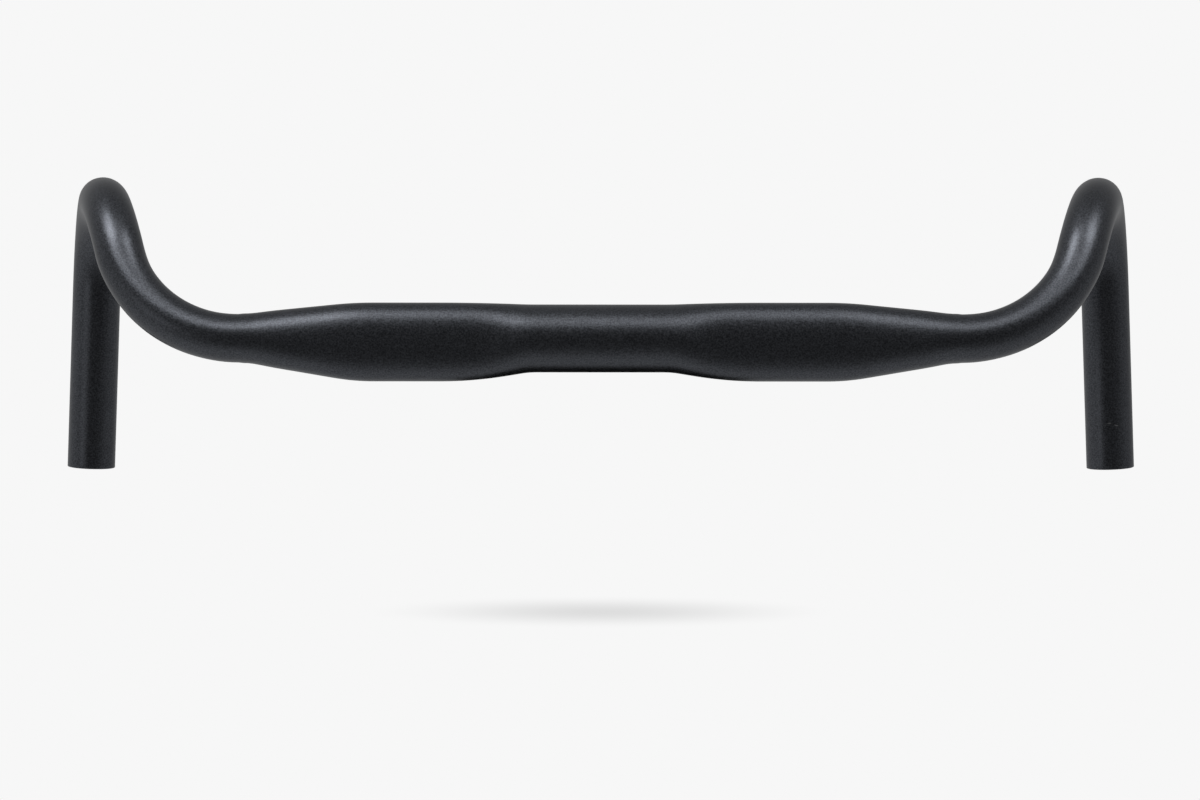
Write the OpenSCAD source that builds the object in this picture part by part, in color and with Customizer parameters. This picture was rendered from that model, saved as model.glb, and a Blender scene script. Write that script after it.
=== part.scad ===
/* [Clamp] */
// Outer diameter of the round centre that a stem clamps
clamp_d = 31.8; // [31:0.1:33]
// Length of the round centre
clamp_length = 60; // [50:1:70]
// Wall of the round centre and of the tops
clamp_wall = 2; // [1.6:0.1:3]

/* [Tops] */
// Front-to-rear depth of each flattened top
top_depth = 36.9; // [34:0.1:42]
// Thickness of each flattened top
top_height = 25.4; // [24:0.1:29]
// How far the middle of each top lies behind the clamp's axis
top_setback = 1.7; // [0:0.1:3]
// Squareness of the top's section: 2 is an ellipse, more is flatter
top_squareness = 2.4; // [2:0.1:3]
// Distance from the bar's middle to where each top reaches its full depth
top_start = 75; // [72:1:88]
// Distance from the bar's middle to where each top starts to taper
top_end = 106; // [96:1:120]
// Distance from the bar's middle to where the taper has become the round tube
neck_x = 167; // [150:1:185]

/* [Tube] */
// Outer diameter of the ramps, hooks and drops
tube_d = 23.8; // [22.2:0.1:25]
// Wall of the ramps, hooks and drops
tube_wall = 1.6; // [1.2:0.1:2.4]
// Bevel that takes the burr off each cut end
end_bevel = 0.4; // [0.1:0.1:0.6]

/* [Bends] */
// Straight stretch of round tube between each taper and its corner
neck_length = 2; // [2:0.5:10]
// Fall of the ramps as they run forward, in degrees
ramp_fall = 15; // [0:0.5:20]
// Radius of the corner from each top into its ramp, at the tube's middle
corner_radius = 60; // [45:1:75]
// Angle of that corner
corner_angle = 75; // [60:0.5:84]
// Turn of the bending plane from the corner to the hook's upper bend
hook_turn = -96; // [-100:0.5:-80]
// Radius of the hook's upper bend
upper_radius = 44; // [40:1:60]
// Angle of the hook's upper bend
upper_angle = 69.5; // [55:0.5:75]
// Turn of the bending plane between the hook's two bends, which flares the drops
flare_turn = -13; // [-22:0.5:0]
// Radius of the hook's lower bend
lower_radius = 47; // [40:1:60]
// Angle of the hook's lower bend
lower_angle = 81.5; // [75:0.5:100]
// Straight length of each drop up to its cut end
drop_length = 86.5; // [60:1:120]

/* [Hidden] */
finish = [0.09, 0.09, 0.1];
// How far the tops' faces stand proud of the round stretches, so that they cover them whole
proud = 0.07;
// How far each round stretch runs on inside the tops, and how far the tops' ends dive into it
lap_start = 0.4;
lap_end = 1;
// The bender's chart for one side, in rows of straight feed, turn of the plane, radius and angle
CHART = [
    [lap_start + neck_length, -ramp_fall, corner_radius, corner_angle],
    [0, hook_turn, upper_radius, upper_angle],
    [0, flare_turn, lower_radius, lower_angle],
];
// Share of each change of section that has a soft start and a soft end
rise_start_share = 0.15;
rise_end_share = 0.7;
taper_start_share = 0.3;
taper_end_share = 0.1;
flattening_share = 0.3;
// Distance from the bar's middle to where each top is flat, this far past the middle of its rise
flat_lag = 8;
flat_start = (clamp_length / 2 + top_start) / 2 + flat_lag;
// Points round each section of the tops, and sections along each of them
section_points = 40;
section_count = 24;
// A thin disc fills each joint between two stretches of tube. It stands proud of them by this much,
// its rim falls away at 45 degrees over this length, and each stretch stops this far short of it.
disc_proud = 0.05;
disc_rim = 0.5;
disc_gap = 0.02;
// How far cutters run past the faces that they cut
overcut = 1;
$fn = 64;

// Goes from 0 to 1 at a steady slope, with soft stretches of the given shares at its ends
function soft_ramp(x, from, to, start_share, end_share) =
    let (
        u = max(0, min(1, (x - from) / (to - from))),
        slope = 1 / (1 - (start_share + end_share) / 2)
    )
    u < start_share ? slope * u * u / (2 * start_share) :
    u > 1 - end_share ? 1 - slope * (1 - u) * (1 - u) / (2 * end_share) :
    slope * (u - start_share / 2);

function mix(a, b, share) = a + (b - a) * share;
function rise(x) = soft_ramp(x, clamp_length / 2, top_start, rise_start_share, rise_end_share);
function flattening(x) =
    soft_ramp(x, clamp_length / 2, flat_start, flattening_share, flattening_share);
function taper(x) = soft_ramp(x, top_end, neck_x, taper_start_share, taper_end_share);

// The section's depth, height, setback, squareness and wall at a distance from the bar's middle
function depth_at(x) = mix(mix(clamp_d, top_depth, rise(x)), tube_d, taper(x));
function height_at(x) = mix(mix(clamp_d, top_height, flattening(x)), tube_d, taper(x));
function setback_at(x) = top_setback * rise(x) * (1 - taper(x));
function squareness_at(x) = mix(2, top_squareness, flattening(x) * (1 - taper(x)));
function wall_at(x) = mix(clamp_wall, tube_wall, taper(x));

// One coordinate of a superellipse whose angle has the given sine or cosine
function rounded(reach, ratio, squareness) =
    reach * sign(ratio) * pow(abs(ratio), 2 / squareness);

// The closed section across the bar, a given distance inside its outer surface
function section(x, inset) = [
    for (i = [0 : section_points - 1])
        let (a = 360 * (i + 0.5) / section_points)
        [
            x,
            rounded(depth_at(x) / 2 - inset, cos(a), squareness_at(x)) - setback_at(x),
            rounded(height_at(x) / 2 - inset, sin(a), squareness_at(x))
        ]
];

// Skins a row of closed sections into one solid
module skin(sections) {
    points = len(sections[0]);
    last = (len(sections) - 1) * points;
    sides = [
        for (row = [0 : len(sections) - 2], i = [0 : points - 1])
            let (here = row * points, next = (i + 1) % points)
            [here + i, here + points + i, here + points + next, here + next]
    ];
    near_end = [for (i = [0 : points - 1]) i];
    far_end = [for (i = [points - 1 : -1 : 0]) last + i];
    polyhedron(
        points = [for (s = sections) each s],
        faces = concat(sides, [near_end, far_end]),
        convexity = 6
    );
}

// One top with its taper, from the round clamp to the round neck. Each end dives into its round
// stretch at 45 degrees, so that the two surfaces cross in one clean edge.
module top_form(hollow) {
    from = clamp_length / 2 + proud;
    to = neck_x - proud;
    skin([
        section(from - lap_end, lap_end - proud + (hollow ? clamp_wall : 0)),
        for (i = [0 : section_count])
            let (x = mix(from, to, i / section_count))
            section(x, (hollow ? wall_at(x) : 0) - proud),
        section(to + lap_end, lap_end - proud + (hollow ? tube_wall : 0))
    ]);
}

// A straight rod along +X
module straight_rod(d, length) {
    rotate([0, 90, 0]) cylinder(d = d, h = length);
}

// Carries its children past a bend that starts along +X and turns towards +Y
module past_bend(radius, angle) {
    translate([0, radius, 0]) rotate([0, 0, angle]) translate([0, -radius, 0]) children();
}

// A bent rod, just clear of the planes in which its bend starts and ends
module bent_rod(d, radius, angle) {
    gap_angle = disc_gap / radius * 180 / PI;
    translate([0, radius, 0])
        rotate([0, 0, gap_angle - 90])
        rotate_extrude(angle = angle - 2 * gap_angle)
        translate([radius, 0])
        circle(d = d);
}

// The disc that joins two stretches of rod, across the X axis
module joint_disc(d) {
    rim = d / 2 + disc_proud;
    rotate([0, 90, 0])
        rotate_extrude()
        polygon([
            [0, -disc_rim],
            [rim - disc_rim, -disc_rim],
            [rim, 0],
            [rim - disc_rim, disc_rim],
            [0, disc_rim]
        ]);
}

// Follows the bender's chart from one of its rows to the drop, in rods of one diameter
module bent_side(d, past_end, row = 0) {
    if (row < len(CHART)) {
        feed = CHART[row][0];
        radius = CHART[row][2];
        angle = CHART[row][3];
        rotate([CHART[row][1], 0, 0]) {
            if (feed > 0) straight_rod(d, feed - disc_gap);
            translate([feed, 0, 0]) {
                joint_disc(d);
                bent_rod(d, radius, angle);
                past_bend(radius, angle) bent_side(d, past_end, row + 1);
            }
        }
    } else {
        joint_disc(d);
        translate([disc_gap, 0, 0]) straight_rod(d, drop_length + past_end - disc_gap);
    }
}

// Carries its children to the cut end of one drop, with +X out of the tube
module at_bar_end(row = 0) {
    if (row < len(CHART)) {
        rotate([CHART[row][1], 0, 0])
            translate([CHART[row][0], 0, 0])
            past_bend(CHART[row][2], CHART[row][3])
            at_bar_end(row + 1) children();
    } else {
        translate([drop_length, 0, 0]) children();
    }
}

// Both sides of a solid that is drawn on the right
module both_sides() {
    children();
    mirror([1, 0, 0]) children();
}

// The bar's outer form, or the space inside its walls
module bar_form(hollow) {
    clamp_reach = clamp_length / 2 + lap_start;
    translate([-clamp_reach, 0, 0])
        straight_rod(clamp_d - (hollow ? 2 * clamp_wall : 0), 2 * clamp_reach);
    both_sides() {
        top_form(hollow);
        translate([neck_x - lap_start, 0, 0])
            bent_side(tube_d - (hollow ? 2 * tube_wall : 0), hollow ? overcut : 0);
    }
}

// Takes the outer and the inner edge off a cut end
module end_bevels() {
    bore_d = tube_d - 2 * tube_wall;
    rim_d = tube_d + 2 * overcut;
    difference() {
        translate([-end_bevel, 0, 0]) straight_rod(rim_d, end_bevel + overcut);
        translate([-end_bevel, 0, 0])
            rotate([0, 90, 0])
            cylinder(d1 = tube_d, d2 = tube_d - 2 * (end_bevel + overcut), h = end_bevel + overcut);
    }
    translate([-end_bevel, 0, 0])
        rotate([0, 90, 0])
        cylinder(d1 = bore_d, d2 = bore_d + 2 * (end_bevel + overcut), h = end_bevel + overcut);
}

module handlebar() {
    color(finish)
        difference() {
            bar_form(hollow = false);
            bar_form(hollow = true);
            both_sides() translate([neck_x - lap_start, 0, 0]) at_bar_end() end_bevels();
        }
}

handlebar();
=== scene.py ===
"""Dresses the gravel drop handlebar: one aluminium tube, hydroformed, bent, bead blasted and dyed black."""

import logging
import math
from collections.abc import Iterable
from dataclasses import dataclass, field
from enum import Enum

import bmesh
import bpy
from mathutils import Matrix, Vector


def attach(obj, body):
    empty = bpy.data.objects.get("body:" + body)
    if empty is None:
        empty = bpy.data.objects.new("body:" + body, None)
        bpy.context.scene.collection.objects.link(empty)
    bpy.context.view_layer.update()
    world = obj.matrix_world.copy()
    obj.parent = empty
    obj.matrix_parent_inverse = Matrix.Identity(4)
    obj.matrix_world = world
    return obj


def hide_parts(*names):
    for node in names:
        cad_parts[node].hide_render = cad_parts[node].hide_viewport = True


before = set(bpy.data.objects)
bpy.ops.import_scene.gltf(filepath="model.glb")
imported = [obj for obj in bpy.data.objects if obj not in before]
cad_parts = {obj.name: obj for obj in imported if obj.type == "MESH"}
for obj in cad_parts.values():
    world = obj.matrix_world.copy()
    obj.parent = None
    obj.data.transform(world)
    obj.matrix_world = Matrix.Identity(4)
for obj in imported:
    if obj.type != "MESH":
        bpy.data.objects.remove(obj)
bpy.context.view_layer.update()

logging.basicConfig(level=logging.INFO, format="%(name)s: %(message)s")
log = logging.getLogger("drop_handlebar")

MM = 0.001
PHOTO_WIDTH_PX = 1200
# Points closer than this are one point
WELD = 0.01 * MM
X_AXIS = Vector((1.0, 0.0, 0.0))
Y_AXIS = Vector((0.0, 1.0, 0.0))
Z_AXIS = Vector((0.0, 0.0, 1.0))


class Side(Enum):
    """The rider's hand on whose side a half of the bar lies."""

    RIGHT = 1
    LEFT = -1


@dataclass(frozen=True)
class Bend:
    """One row of the bender's chart.

    Attributes:
        feed: straight tube before the bend, in millimetres.
        turn: turn of the bending plane about the tube, in degrees.
        radius: radius of the bend at the tube's middle, in millimetres.
        angle: angle of the bend, in degrees.
        flattening: share of its width that the tube loses in the plane of the bend.
    """

    feed: float
    turn: float
    radius: float
    angle: float
    flattening: float


def srgb(code: str) -> tuple[float, float, float, float]:
    """Turns an sRGB hex colour to linear.

    Args:
        code: the colour, as in "#1A2B3C".

    Returns:
        Linear red, green and blue, with an alpha of 1.
    """
    values = [int(code[i : i + 2], 16) / 255 for i in (1, 3, 5)]
    linear = [v / 12.92 if v <= 0.04045 else ((v + 0.055) / 1.055) ** 2.4 for v in values]
    return (linear[0], linear[1], linear[2], 1.0)


def add_node(
    tree: bpy.types.NodeTree,
    kind: str,
    settings: dict[str, object] | None = None,
    sockets: dict[str | int, object] | None = None,
) -> bpy.types.Node:
    """Adds a node with its settings and its links.

    Args:
        tree: the node tree that gets the node.
        kind: the node's type.
        settings: values of the node's own properties.
        sockets: a value, or another node's output, for each named or numbered input.

    Returns:
        The new node.
    """
    node = tree.nodes.new(kind)
    for name, value in (settings or {}).items():
        setattr(node, name, value)
    for name, value in (sockets or {}).items():
        if isinstance(value, bpy.types.NodeSocket):
            tree.links.new(value, node.inputs[name])
        else:
            node.inputs[name].default_value = value
    return node


def new_material(name: str) -> bpy.types.Material:
    """Starts a material with an empty node tree.

    Args:
        name: the material's name.

    Returns:
        The material.
    """
    material = bpy.data.materials.new(name)
    material.use_nodes = True
    material.node_tree.nodes.clear()
    return material


def soft_ramp(x: float, start: float, end: float, start_share: float, end_share: float) -> float:
    """Goes from 0 to 1 at a steady slope between soft stretches.

    Args:
        x: where to read the ramp.
        start: where it leaves 0.
        end: where it reaches 1.
        start_share: share of its length that has the soft start.
        end_share: share of its length that has the soft end.

    Returns:
        The ramp's height at x.
    """
    u = max(0.0, min(1.0, (x - start) / (end - start)))
    slope = 1 / (1 - (start_share + end_share) / 2)
    if u < start_share:
        return slope * u * u / (2 * start_share)
    if u > 1 - end_share:
        return 1 - slope * (1 - u) ** 2 / (2 * end_share)
    return slope * (u - start_share / 2)


def mix(a: float, b: float, share: float) -> float:
    """Returns the value that lies the given share of the way from a to b."""
    return a + (b - a) * share


def reach(ratio: float, squareness: float) -> float:
    """Returns a superellipse's reach for the sine or cosine of its angle."""
    return math.copysign(abs(ratio) ** (2 / squareness), ratio)


def select_none() -> None:
    """Deselects every object."""
    bpy.ops.object.select_all(action="DESELECT")


def make_active(obj: bpy.types.Object) -> None:
    """Makes one object the selected and active one.

    Args:
        obj: the object.
    """
    select_none()
    obj.select_set(True)
    bpy.context.view_layer.objects.active = obj


def apply_modifier(obj: bpy.types.Object, kind: str, settings: dict[str, object]) -> None:
    """Adds a modifier to an object and applies it.

    Args:
        obj: the object.
        kind: the modifier's type.
        settings: values of the modifier's properties.
    """
    make_active(obj)
    modifier = obj.modifiers.new(kind.lower(), kind)
    for name, value in settings.items():
        setattr(modifier, name, value)
    bpy.ops.object.modifier_apply(modifier=modifier.name)


@dataclass(frozen=True)
class Scuff:
    """A short light scuff through the dye.

    Attributes:
        place: its middle, in metres.
        turn: turn of its length about Z, in degrees.
        size: half its length, half its width and half its depth, in millimetres.
    """

    place: tuple[float, float, float]
    turn: float
    size: tuple[float, float, float]


@dataclass(frozen=True)
class BlackAnodisedAluminium:
    """Bead-blasted aluminium that was anodised and dyed black.

    The blasted skin spreads each light into a satin sheen with a fine sparkle, and the dyed oxide
    over it keeps the rest nearly black, with a trace of blue where light strikes it.
    """

    name: str = "black_anodised_bead_blasted_aluminium"
    dye: str = "#494B4F"
    dye_thin: str = "#4D4F54"
    pit: str = "#2C2D30"
    sparkle: str = "#64676D"
    bare_metal: str = "#8C8D90"
    metallic: float = 1.0
    roughness: float = 0.35
    roughness_spread: float = 0.05
    # Blasting leaves dimples of about 0.1 mm. A pixel covers 0.5 mm, so they are drawn at 0.7 mm.
    dimple_mm: float = 0.7
    dimple_depth_mm: float = 0.02
    # Share of the colour that the grain holds, and the noise values between which it runs
    grain_share: float = 0.5
    grain_low: float = 0.3
    grain_high: float = 0.7
    dye_cloud_mm: float = 40.0
    # A scuff is worn through to this share of the way from its rim to its middle
    scuff_rim: float = 0.5
    scuffs: tuple[Scuff, ...] = (
        Scuff((0.2510, -0.0283, -0.0986), 6.0, (1.4, 0.4, 2.0)),
        Scuff((0.2545, -0.0293, -0.0990), -10.0, (1.4, 0.4, 2.0)),
    )

    def scale_for(self, size_mm: float) -> float:
        """Returns the texture scale at which one feature has the given size in millimetres."""
        return 1 / (size_mm * MM)

    def add_noise(
        self, tree: bpy.types.NodeTree, place: bpy.types.NodeSocket, size_mm: float, detail: float
    ) -> bpy.types.NodeSocket:
        """Adds a noise pattern of a real size.

        Args:
            tree: the material's node tree.
            place: the coordinates that it follows.
            size_mm: size of one feature, in millimetres.
            detail: how many finer layers it has.

        Returns:
            The pattern, around 0.5.
        """
        sockets = {"Vector": place, "Scale": self.scale_for(size_mm), "Detail": detail}
        return add_node(tree, "ShaderNodeTexNoise", sockets=sockets).outputs["Fac"]

    def add_scuffs(
        self,
        tree: bpy.types.NodeTree,
        place: bpy.types.NodeSocket,
        colour: bpy.types.NodeSocket,
    ) -> bpy.types.NodeSocket:
        """Lets the bare metal show through the dye at each scuff.

        Args:
            tree: the material's node tree.
            place: Object coordinates.
            colour: the colour without scuffs.

        Returns:
            The colour with them.
        """
        for scuff in self.scuffs:
            at = add_node(
                tree,
                "ShaderNodeMapping",
                {"vector_type": "TEXTURE"},
                {
                    "Vector": place,
                    "Location": scuff.place,
                    "Rotation": (0.0, 0.0, math.radians(scuff.turn)),
                    "Scale": tuple(half * MM for half in scuff.size),
                },
            ).outputs["Vector"]
            near = add_node(
                tree, "ShaderNodeTexGradient", {"gradient_type": "SPHERICAL"}, {"Vector": at}
            ).outputs["Fac"]
            worn = add_node(
                tree,
                "ShaderNodeMapRange",
                {"interpolation_type": "SMOOTHSTEP"},
                {"Value": near, "From Min": 0.0, "From Max": self.scuff_rim},
            ).outputs["Result"]
            colour = add_node(
                tree,
                "ShaderNodeMix",
                {"data_type": "RGBA"},
                {"Factor": worn, 6: colour, 7: srgb(self.bare_metal)},
            ).outputs[2]
        return colour

    def build(self) -> bpy.types.Material:
        """Makes the material.

        Returns:
            The material.
        """
        material = new_material(self.name)
        tree = material.node_tree
        place = add_node(tree, "ShaderNodeTexCoord").outputs["Object"]
        dimples = self.add_noise(tree, place, self.dimple_mm, 1.0)
        clouds = self.add_noise(tree, place, self.dye_cloud_mm, 3.0)
        dyed = add_node(
            tree,
            "ShaderNodeMix",
            {"data_type": "RGBA"},
            {"Factor": clouds, 6: srgb(self.dye), 7: srgb(self.dye_thin)},
        ).outputs[2]
        ramp = add_node(tree, "ShaderNodeValToRGB", sockets={"Fac": dimples})
        ramp.color_ramp.elements[0].position = self.grain_low
        ramp.color_ramp.elements[0].color = srgb(self.pit)
        ramp.color_ramp.elements[1].position = self.grain_high
        ramp.color_ramp.elements[1].color = srgb(self.sparkle)
        grained = add_node(
            tree,
            "ShaderNodeMix",
            {"data_type": "RGBA"},
            {"Factor": self.grain_share, 6: dyed, 7: ramp.outputs["Color"]},
        ).outputs[2]
        roughness = add_node(
            tree,
            "ShaderNodeMapRange",
            sockets={
                "Value": dimples,
                "From Min": self.grain_low,
                "From Max": self.grain_high,
                "To Min": self.roughness - self.roughness_spread,
                "To Max": self.roughness + self.roughness_spread,
            },
        ).outputs["Result"]
        bump = add_node(
            tree,
            "ShaderNodeBump",
            sockets={"Height": dimples, "Strength": 1.0, "Distance": self.dimple_depth_mm * MM},
        ).outputs["Normal"]
        shader = add_node(
            tree,
            "ShaderNodeBsdfPrincipled",
            sockets={
                "Base Color": self.add_scuffs(tree, place, grained),
                "Metallic": self.metallic,
                "Roughness": roughness,
                "Normal": bump,
            },
        ).outputs["BSDF"]
        add_node(tree, "ShaderNodeOutputMaterial", sockets={"Surface": shader})
        return material


@dataclass
class DropBar:
    """The bar's one tube: a round clamp, flattened tops, and ramps, hooks and drops of round section.

    Sizes are in millimetres and angles in degrees. The right half is made as the tube is: drawn out
    from the middle, pressed to its section and bent on the bender's chart. Then it is mirrored.
    """

    clamp_d: float = 31.8
    clamp_length: float = 60.0
    clamp_wall: float = 2.0
    top_depth: float = 36.9
    top_height: float = 25.4
    top_setback: float = 1.7
    top_squareness: float = 2.4
    # The tops' flats lean back towards the rider by this much
    top_pitch: float = 10.0
    top_start: float = 75.0
    top_end: float = 106.0
    neck_x: float = 167.0
    tube_d: float = 23.8
    tube_wall: float = 1.6
    end_bevel: float = 0.4
    chart: tuple[Bend, ...] = (
        Bend(2.0, -15.0, 60.0, 75.0, 0.04),
        Bend(0.0, -96.0, 44.0, 69.5, 0.03),
        Bend(0.0, -13.0, 47.0, 81.5, 0.03),
    )
    drop_length: float = 86.5
    rise_start_share: float = 0.15
    rise_end_share: float = 0.7
    flat_start: float = 60.5
    flattening_share: float = 0.3
    taper_start_share: float = 0.3
    taper_end_share: float = 0.1
    # A bend's flattening starts this far ahead of it, and has this share of it where the bend starts
    flattening_lead: float = 18.0
    flattening_at_start: float = 0.6
    flattening_ease: float = 0.25
    ring_points: int = 72
    ring_spacing: float = 2.5
    # The tops' sections stay this far inside the solid's
    inside_cad: float = 0.02
    # A point this far from the tube's surface belongs to another stretch of the tube
    clear_of_tube: float = 1.0
    # Share of a bend's angle by which a point may lie outside the bend and still count as in it
    bend_slack: float = 0.001
    bevel_segments: int = 3
    # Edges whose ends differ more in their distance from the tube's middle cross its wall
    across_wall: float = 0.3
    smooth_angle: float = 35.0
    body: str = "root"
    node: str = "handlebar"
    slot: str = "satin_black"
    # Middle of the right cut end, in metres, and the way out of the tube there
    end_place: Vector = field(init=False)
    end_way: Vector = field(init=False)

    def rise(self, x: float) -> float:
        """Returns how far the top has grown to its full depth at x."""
        return soft_ramp(
            x, self.clamp_length / 2, self.top_start, self.rise_start_share, self.rise_end_share
        )

    def flattening(self, x: float) -> float:
        """Returns how far the top has been pressed flat at x."""
        share = self.flattening_share
        return soft_ramp(x, self.clamp_length / 2, self.flat_start, share, share)

    def taper(self, x: float) -> float:
        """Returns how far the top has drawn in to the round tube at x."""
        return soft_ramp(
            x, self.top_end, self.neck_x, self.taper_start_share, self.taper_end_share
        )

    def wall(self, x: float) -> float:
        """Returns the wall's thickness at x."""
        return mix(self.clamp_wall, self.tube_wall, self.taper(x))

    def near_tube(self) -> float:
        """Returns how far from a stretch's middle its points may lie, in metres."""
        return (self.tube_d / 2 + self.clear_of_tube) * MM

    def add_ring(self) -> bpy.types.Object:
        """Starts the tube with one ring round the bar's middle.

        Returns:
            The tube's object, in edit mode with its ring selected.
        """
        select_none()
        bpy.ops.mesh.primitive_circle_add(
            vertices=self.ring_points,
            radius=self.clamp_d / 2 * MM,
            fill_type="NOTHING",
            rotation=(0.0, math.pi / 2, 0.0),
        )
        tube = bpy.context.object
        tube.name = tube.data.name = "handlebar_tube"
        bpy.ops.object.transform_apply(location=False, rotation=True, scale=True)
        bpy.ops.object.mode_set(mode="EDIT")
        bpy.ops.mesh.select_all(action="SELECT")
        return tube

    def draw_out(self, way: Vector, length: float) -> None:
        """Extrudes the selected ring in steps.

        Args:
            way: direction in which the tube runs.
            length: length to draw out, in millimetres.
        """
        steps = max(1, round(length / self.ring_spacing))
        for _ in range(steps):
            step = way * (length / steps) * MM
            bpy.ops.mesh.extrude_region_move(TRANSFORM_OT_translate={"value": step})

    def press_tops(self, tube: bpy.types.Object) -> None:
        """Moves each ring of the straight tube to its pressed section.

        Args:
            tube: the tube, in edit mode.
        """
        mesh = bmesh.from_edit_mesh(tube.data)
        for vert in mesh.verts:
            x = vert.co.x / MM
            rise, taper = self.rise(x), self.taper(x)
            depth = mix(mix(self.clamp_d, self.top_depth, rise), self.tube_d, taper)
            height = mix(mix(self.clamp_d, self.top_height, self.flattening(x)), self.tube_d, taper)
            squareness = mix(2.0, self.top_squareness, self.flattening(x) * (1 - taper))
            depth *= 1 - self.chart[0].flattening * self.flattening_at_start * soft_ramp(
                x, self.neck_x - self.flattening_lead, self.neck_x, 0.5, 0.5
            )
            radius = math.hypot(vert.co.y, vert.co.z)
            setback = self.top_setback * rise * (1 - taper)
            half_depth, half_height = depth / 2 - self.inside_cad, height / 2 - self.inside_cad
            across = half_depth * reach(vert.co.y / radius, squareness)
            up = half_height * reach(vert.co.z / radius, squareness)
            pitch = math.radians(self.top_pitch) * self.flattening(x) * (1 - taper)
            vert.co.y = (across * math.cos(pitch) - up * math.sin(pitch) - setback) * MM
            vert.co.z = (across * math.sin(pitch) + up * math.cos(pitch)) * MM
        bmesh.update_edit_mesh(tube.data)

    def flatten_bend(
        self, tube: bpy.types.Object, row: int, centre: Vector, turn: Matrix
    ) -> None:
        """Flattens the section along a bend, in the plane of the bend.

        Args:
            tube: the tube, in edit mode.
            row: the bend's row of the chart.
            centre: centre of the bend, in metres.
            turn: frame of the tube where the bend starts.
        """
        bend = self.chart[row]
        mesh = bmesh.from_edit_mesh(tube.data)
        to_start = turn.transposed()
        near = self.near_tube()
        for vert in mesh.verts:
            at = to_start @ (vert.co - centre)
            spoke = math.hypot(at.x, at.y)
            share = math.degrees(math.atan2(at.x, -at.y)) / bend.angle
            off = spoke - bend.radius * MM
            in_bend = -self.bend_slack < share < 1 + self.bend_slack
            if abs(at.z) > near or abs(off) > near or not in_bend:
                continue
            ease = min(1.0, soft_ramp(1 - share, 0, self.flattening_ease, 0.5, 0.5))
            start = self.flattening_at_start if row == 0 else 0.0
            ease *= mix(start, 1.0, soft_ramp(share, 0, self.flattening_ease, 0.5, 0.5))
            moved = bend.radius * MM + off * (1 - bend.flattening * ease)
            at.x *= moved / spoke
            at.y *= moved / spoke
            vert.co = centre + turn @ at
        bmesh.update_edit_mesh(tube.data)

    def bend_to_chart(self, tube: bpy.types.Object) -> None:
        """Draws out and bends the tube as the chart says, to the cut end of the drop.

        Args:
            tube: the tube, in edit mode with its last ring selected.
        """
        place = Vector((self.neck_x, 0.0, 0.0)) * MM
        turn = Matrix.Identity(3)
        for row, bend in enumerate(self.chart):
            turn = turn @ Matrix.Rotation(math.radians(bend.turn), 3, "X")
            if bend.feed > 0:
                self.draw_out(turn @ X_AXIS, bend.feed)
                place += turn @ X_AXIS * bend.feed * MM
            centre = place + turn @ Y_AXIS * bend.radius * MM
            angle = math.radians(bend.angle)
            # With no window the spin turns the other way, so its axis is turned over
            bpy.ops.mesh.spin(
                steps=round(angle * bend.radius / self.ring_spacing),
                angle=angle,
                center=centre,
                axis=turn @ -Z_AXIS,
            )
            self.flatten_bend(tube, row, centre, turn)
            swing = Matrix.Rotation(angle, 3, "Z")
            place = centre + turn @ swing @ -Y_AXIS * bend.radius * MM
            turn = turn @ swing
        self.draw_out(turn @ X_AXIS, self.drop_length)
        self.end_place = place + turn @ X_AXIS * self.drop_length * MM
        self.end_way = turn @ X_AXIS

    def close_halves(self, tube: bpy.types.Object) -> None:
        """Mirrors the right half and joins the two at the bar's middle.

        Args:
            tube: the tube, in object mode.
        """
        apply_modifier(
            tube, "MIRROR", {"use_axis": (True, False, False), "merge_threshold": WELD}
        )
        bpy.ops.object.mode_set(mode="EDIT")
        bpy.ops.mesh.select_all(action="SELECT")
        bpy.ops.mesh.remove_doubles(threshold=WELD)
        bpy.ops.mesh.normals_make_consistent(inside=False)
        bpy.ops.object.mode_set(mode="OBJECT")
        clamp_face = min(tube.data.polygons, key=lambda face: abs(face.center.x))
        outward = Vector((0.0, clamp_face.center.y, clamp_face.center.z))
        if clamp_face.normal.dot(outward) < 0:
            tube.data.flip_normals()

    def thicken(self, tube: bpy.types.Object) -> None:
        """Gives the tube its wall, inwards from its outer face.

        Args:
            tube: the tube, in object mode.
        """
        group = tube.vertex_groups.new(name="wall")
        for vert in tube.data.vertices:
            thinned = self.wall(abs(vert.co.x) / MM) / self.clamp_wall
            group.add([vert.index], thinned, "REPLACE")
        apply_modifier(
            tube,
            "SOLIDIFY",
            {
                "thickness": self.clamp_wall * MM,
                "offset": -1.0,
                "use_even_offset": True,
                "vertex_group": "wall",
            },
        )
        tube.vertex_groups.clear()

    def bevel_ends(self, tube: bpy.types.Object) -> None:
        """Takes the burr off both edges of each cut end.

        Args:
            tube: the tube, in object mode.
        """
        make_active(tube)
        bpy.ops.object.mode_set(mode="EDIT")
        bpy.ops.mesh.select_mode(type="EDGE")
        bpy.ops.mesh.select_all(action="DESELECT")
        mesh = bmesh.from_edit_mesh(tube.data)
        for side in Side:
            mirrored = Vector((side.value, 1.0, 1.0))
            place, way = self.end_place * mirrored, self.end_way * mirrored
            for edge in mesh.edges:
                edge.select |= self.runs_round_end(edge, place, way)
        mesh.select_flush_mode()
        bmesh.update_edit_mesh(tube.data)
        bpy.ops.mesh.bevel(
            offset=self.end_bevel * MM,
            offset_type="OFFSET",
            segments=self.bevel_segments,
            profile=0.5,
        )
        bpy.ops.object.mode_set(mode="OBJECT")

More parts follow.
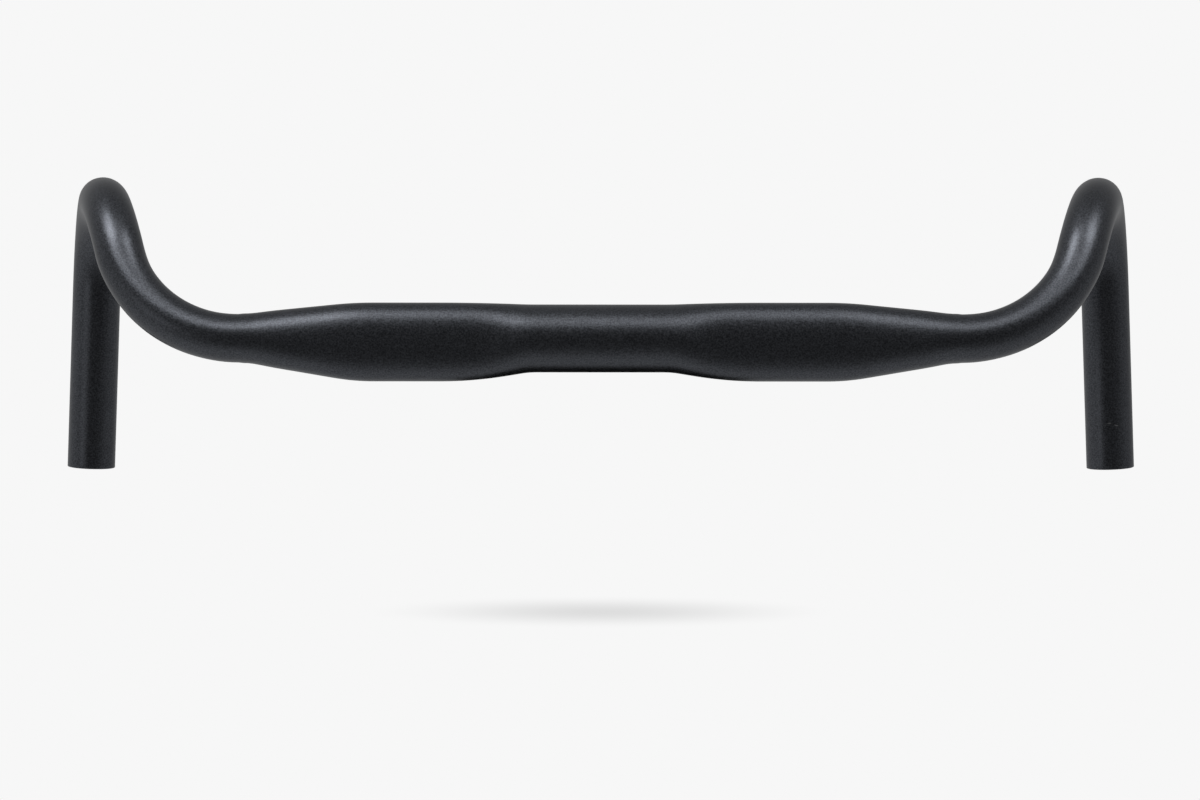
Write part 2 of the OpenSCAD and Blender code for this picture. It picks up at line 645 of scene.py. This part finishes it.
    def runs_round_end(self, edge: bmesh.types.BMEdge, place: Vector, way: Vector) -> bool:
        """Tells the edges round a cut end from all others, also from those that cross its wall.

        Args:
            edge: any edge of the tube.
            place: middle of the cut end.
            way: the way out of the tube there.

        Returns:
            Whether the edge runs round the cut end.
        """
        spokes = [vert.co - place for vert in edge.verts]
        if any(abs(spoke.dot(way)) >= WELD or spoke.length >= self.near_tube() for spoke in spokes):
            return False
        return abs(spokes[0].length - spokes[1].length) < self.across_wall * MM

    def build(self, finish: BlackAnodisedAluminium) -> bpy.types.Object:
        """Models the tube, dresses it and puts it in the frame.

        Args:
            finish: the tube's finish.

        Returns:
            The finished piece.
        """
        tube = self.add_ring()
        self.draw_out(X_AXIS, self.neck_x)
        self.press_tops(tube)
        self.bend_to_chart(tube)
        bpy.ops.object.mode_set(mode="OBJECT")
        self.close_halves(tube)
        self.thicken(tube)
        self.bevel_ends(tube)
        make_active(tube)
        bpy.ops.object.shade_smooth_by_angle(angle=math.radians(self.smooth_angle))
        tube.data.materials.clear()
        tube.data.materials.append(finish.build())
        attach(tube, self.body)
        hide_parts(self.node)
        return tube


@dataclass(frozen=True)
class Softbox:
    """A rectangular soft light that faces the bar.

    Attributes:
        name: the light's name.
        place: its middle, in metres.
        size: its width and height, in metres.
        radiance: its brightness, where the backdrop's white is 1.
    """

    name: str
    place: tuple[float, float, float]
    size: tuple[float, float]
    radiance: float

    def hang(self) -> bpy.types.Object:
        """Hangs the light.

        Returns:
            The light's object.
        """
        data = bpy.data.lights.new(self.name, "AREA")
        data.shape = "RECTANGLE"
        data.size, data.size_y = self.size
        data.energy = self.radiance * math.pi * self.size[0] * self.size[1]
        light = bpy.data.objects.new(self.name, data)
        light.location = self.place
        light.rotation_mode = "QUATERNION"
        light.rotation_quaternion = (-Vector(self.place)).to_track_quat("-Z", "Y")
        bpy.context.collection.objects.link(light)
        return light


@dataclass
class Studio:
    """The pale floor, the soft lights and the camera at the photograph's angle, in metres and degrees."""

    backdrop: str = "#F7F7F7"
    floor_z: float = -0.35
    floor_size: float = 8.0
    # A black card under the clamp keeps its lower edge dark: its middle and its size
    card_place: tuple[float, float, float] = (0.001, -0.125, -0.1)
    card_size: tuple[float, float] = (0.138, 0.19)
    card: str = "#080808"
    # A faint shadow is painted on the floor behind the bar: its middle, its half sizes and its depth
    painted_shadow_place: tuple[float, float] = (-0.0008, -0.1053)
    painted_shadow_size: tuple[float, float] = (0.135, 0.0095)
    painted_shadow_depth: float = 0.22
    # The room's light: dark overhead, brighter at the horizon and below, most so at the left and rear
    ceiling: float = 0.11
    horizon: float = 0.5
    horizon_lean: tuple[float, float, float] = (-0.09, -0.15, 0.0)
    ceiling_from: float = 0.95
    softboxes: tuple[Softbox, ...] = (
        Softbox("left_softbox", (-1.0, 1.4, 1.0), (0.9, 1.0), 6.3),
        Softbox("right_softbox", (1.3, 1.5, 1.2), (1.1, 1.1), 4.4),
        Softbox("front_softbox", (0.0, 1.6, 1.25), (2.1, 1.2), 1.2),
        Softbox("left_fill", (-1.3, -0.3, 1.1), (0.8, 0.8), 0.5),
    )
    elevation: float = 82.0
    distance: float = 1.7
    aside: float = 4.121 * MM
    focal_px: float = 3635.84
    pan: float = -0.1409
    tilt: float = 0.9695
    roll: float = -0.0334
    sensor_mm: float = 36.0
    clip: tuple[float, float] = (0.05, 50.0)

    def add_camera(self) -> bpy.types.Object:
        """Places the camera above the bar, as the photograph was taken.

        Returns:
            The camera's object.
        """
        pitch = math.radians(self.elevation)
        forward = Vector((0.0, math.cos(pitch), -math.sin(pitch)))
        up = Vector((0.0, math.sin(pitch), math.cos(pitch)))
        rows = Matrix((X_AXIS, up, -forward))
        aim = (
            Matrix.Rotation(math.radians(self.roll), 3, "Z")
            @ Matrix.Rotation(math.radians(self.tilt), 3, "X")
            @ Matrix.Rotation(math.radians(self.pan), 3, "Y")
        )
        data = bpy.data.cameras.new("camera")
        data.sensor_width = self.sensor_mm
        data.lens = self.focal_px * self.sensor_mm / PHOTO_WIDTH_PX
        data.clip_start, data.clip_end = self.clip
        camera = bpy.data.objects.new("camera", data)
        camera.matrix_world = Matrix.Translation(
            -forward * self.distance + X_AXIS * self.aside
        ) @ (aim @ rows).transposed().to_4x4()
        bpy.context.collection.objects.link(camera)
        bpy.context.scene.camera = camera
        return camera

    def paper(self) -> bpy.types.Material:
        """Makes the pale paper of the floor, with a faint painted shadow on it.

        Returns:
            The material.
        """
        material = new_material("pale_paper_sweep")
        tree = material.node_tree
        place = add_node(tree, "ShaderNodeTexCoord").outputs["Object"]
        at = add_node(
            tree,
            "ShaderNodeMapping",
            {"vector_type": "TEXTURE"},
            {
                "Vector": place,
                "Location": (*self.painted_shadow_place, 0.0),
                "Scale": (*self.painted_shadow_size, 1.0),
            },
        ).outputs["Vector"]
        near = add_node(
            tree, "ShaderNodeTexGradient", {"gradient_type": "SPHERICAL"}, {"Vector": at}
        ).outputs["Fac"]
        # Painted shadow: the floor's glow is dimmed inside the ellipse behind the bar
        strength = add_node(
            tree,
            "ShaderNodeMapRange",
            {"interpolation_type": "SMOOTHSTEP"},
            {"Value": near, "To Min": 1.0, "To Max": 1.0 - self.painted_shadow_depth},
        ).outputs["Result"]
        glow = add_node(
            tree,
            "ShaderNodeEmission",
            sockets={"Color": srgb(self.backdrop), "Strength": strength},
        ).outputs["Emission"]
        add_node(tree, "ShaderNodeOutputMaterial", sockets={"Surface": glow})
        return material

    def add_floor(self) -> bpy.types.Object:
        """Lays the pale floor, which lights the backdrop but not the bar.

        Returns:
            The floor's object.
        """
        select_none()
        bpy.ops.mesh.primitive_plane_add(size=self.floor_size, location=(0.0, 0.0, self.floor_z))
        floor = bpy.context.object
        floor.name = "pale_floor"
        floor.data.materials.append(self.paper())
        floor.visible_glossy = False
        return floor

    def add_card(self) -> bpy.types.Object:
        """Lays the black card, which only the bar's reflections see.

        Returns:
            The card's object.
        """
        select_none()
        bpy.ops.mesh.primitive_plane_add(size=1.0, location=self.card_place)
        card = bpy.context.object
        card.name = "black_card"
        card.scale = (*self.card_size, 1.0)
        bpy.ops.object.transform_apply(location=False, rotation=False, scale=True)
        material = new_material("black_flocked_card")
        glow = add_node(
            material.node_tree, "ShaderNodeEmission", sockets={"Color": srgb(self.card)}
        ).outputs["Emission"]
        add_node(material.node_tree, "ShaderNodeOutputMaterial", sockets={"Surface": glow})
        card.data.materials.append(material)
        card.visible_camera = False
        card.visible_diffuse = False
        card.visible_shadow = False
        return card

    def set_world(self) -> None:
        """Gives the room its dark ceiling and paler horizon, behind a backdrop that stays pale."""
        world = bpy.data.worlds.new("studio")
        bpy.context.scene.world = world
        world.use_nodes = True
        tree = world.node_tree
        tree.nodes.clear()
        way = add_node(tree, "ShaderNodeTexCoord").outputs["Generated"]
        height = add_node(tree, "ShaderNodeSeparateXYZ", sockets={"Vector": way}).outputs["Z"]
        lean = add_node(
            tree,
            "ShaderNodeVectorMath",
            {"operation": "DOT_PRODUCT"},
            {0: way, 1: self.horizon_lean},
        ).outputs["Value"]
        horizon = add_node(tree, "ShaderNodeMath", sockets={0: lean, 1: self.horizon}).outputs[0]
        room = add_node(
            tree,
            "ShaderNodeMapRange",
            {"interpolation_type": "SMOOTHSTEP"},
            {
                "Value": height,
                "From Min": 0.0,
                "From Max": self.ceiling_from,
                "To Min": horizon,
                "To Max": self.ceiling,
            },
        ).outputs["Result"]
        seen = add_node(tree, "ShaderNodeLightPath").outputs["Is Camera Ray"]
        strength = add_node(tree, "ShaderNodeMix", sockets={0: seen, 2: room, 3: 1.0}).outputs[0]
        background = add_node(
            tree,
            "ShaderNodeBackground",
            sockets={"Color": srgb(self.backdrop), "Strength": strength},
        ).outputs["Background"]
        add_node(tree, "ShaderNodeOutputWorld", sockets={"Surface": background})

    def build(self) -> None:
        """Sets up the floor, the room, the lights and the camera."""
        bpy.context.scene.view_settings.view_transform = "Standard"
        self.add_floor()
        self.add_card()
        self.set_world()
        for softbox in self.softboxes:
            softbox.hang()
        self.add_camera()


def main() -> None:
    tube = DropBar().build(BlackAnodisedAluminium())
    log.info("%s: %d faces", tube.name, len(tube.data.polygons))
    Studio().build()


if __name__ == "__main__":
    main()
